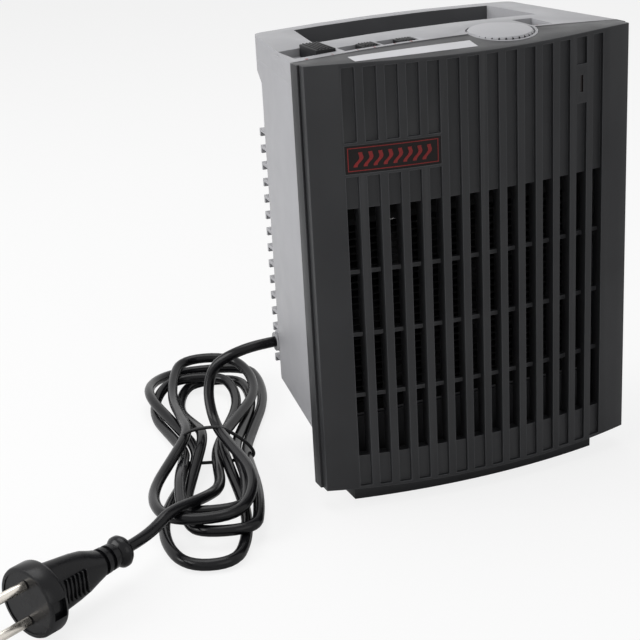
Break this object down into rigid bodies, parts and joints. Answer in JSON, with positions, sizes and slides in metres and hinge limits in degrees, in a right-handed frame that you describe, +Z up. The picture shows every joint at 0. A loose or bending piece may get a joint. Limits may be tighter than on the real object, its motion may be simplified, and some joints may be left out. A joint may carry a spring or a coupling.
{
  "type": "ceramic space heater",
  "caption": "Upright ceramic fan heater with a bulged fluted grille, tapered casing, crowned top with handle recess and controls, louvred rear and a mains cord.",
  "frame": {"origin": "centre of the heater's bounding box in plan, on the floor under its rubber pads, cord left out", "axes": "+Z up, front panel faces -Y, +X to the viewer's right"},
  "size_m": [0.381, 0.3087, 0.2456],
  "materials": {
    "panel_plastic": "fine-grained satin charcoal moulding",
    "body_plastic": "satin charcoal moulding",
    "cover_plastic": "satin charcoal moulding",
    "grille_plastic": "satin charcoal moulding",
    "foot_plastic": "satin charcoal moulding",
    "badge_field": "smooth dark plate with a plain red pattern",
    "lamp_lens": "dark tinted lens",
    "pad_rubber": "soft black rubber",
    "knob_plastic": "satin charcoal moulding",
    "switch_plastic": "satin black moulding",
    "inner_plastic": "heat-resistant black moulding",
    "ceramic": "fired ceramic",
    "fin_aluminium": "thin rolled sheet",
    "plated_steel": "zinc plated",
    "motor_steel": "pressed steel can",
    "fan_plastic": "black moulding",
    "grommet_rubber": "grey moulded rubber",
    "cord_sheath": "smooth glossy sheath",
    "tie_plastic": "plastic-covered wire",
    "plug_moulding": "soft glossy moulding",
    "plug_nickel": "nickel-plated brass"
  },
  "bodies": {
    "heater": {"front_panel": "panel_plastic", "front_bezel": "panel_plastic", "badge_plate": "badge_field", "power_lens": "lamp_lens", "body_casing": "body_plastic", "top_cover": "cover_plastic", "rear_grille": "grille_plastic", "base_foot": "foot_plastic", "rubber_pads": "pad_rubber", "thermostat_body": "inner_plastic", "power_switch": "inner_plastic", "heat_switch": "inner_plastic", "fan_switch": "inner_plastic", "heater_frame": "inner_plastic", "ptc_stones": "ceramic", "heater_fins": "fin_aluminium", "fan_shroud": "inner_plastic", "motor_bracket": "plated_steel", "fan_motor": "motor_steel", "motor_screws": "plated_steel", "casing_screws": "plated_steel", "foot_screws": "plated_steel", "thermal_cutout": "inner_plastic", "tilt_switch": "inner_plastic", "terminal_block": "inner_plastic", "cord_grommet": "grommet_rubber", "cord_lead": "cord_sheath", "cord_tail": "cord_sheath", "cord_hank": "cord_sheath", "cord_tie": "tie_plastic", "plug_body": "plug_moulding", "plug_pins": "plug_nickel"},
    "knob": {"thermostat_knob": "knob_plastic", "thermostat_shaft": "plated_steel"},
    "power_slider": {"power_slide": "switch_plastic"},
    "heat_slider": {"heat_slide": "switch_plastic"},
    "fan_slider": {"fan_slide": "switch_plastic"},
    "rotor": {"fan_impeller": "fan_plastic", "motor_shaft": "plated_steel"}
  },
  "joints": [
    {"name": "knob_turn", "type": "hinge", "parent": "heater", "child": "knob", "pos_m": [0.0245, -0.03235, 0.2445], "axis": [0, 0.0698, -0.9976], "range_deg": [0, 270]},
    {"name": "power_travel", "type": "slide", "parent": "heater", "child": "power_slider", "axis": [1, 0, 0], "range_m": [-0.009, 0]},
    {"name": "heat_travel", "type": "slide", "parent": "heater", "child": "heat_slider", "axis": [1, 0, 0], "range_m": [-0.007, 0]},
    {"name": "fan_travel", "type": "slide", "parent": "heater", "child": "fan_slider", "axis": [1, 0, 0], "range_m": [-0.007, 0]},
    {"name": "rotor_spin", "type": "hinge", "parent": "heater", "child": "rotor", "pos_m": [0, 0, 0.1044], "axis": [0, 1, 0], "continuous": true}
  ]
}
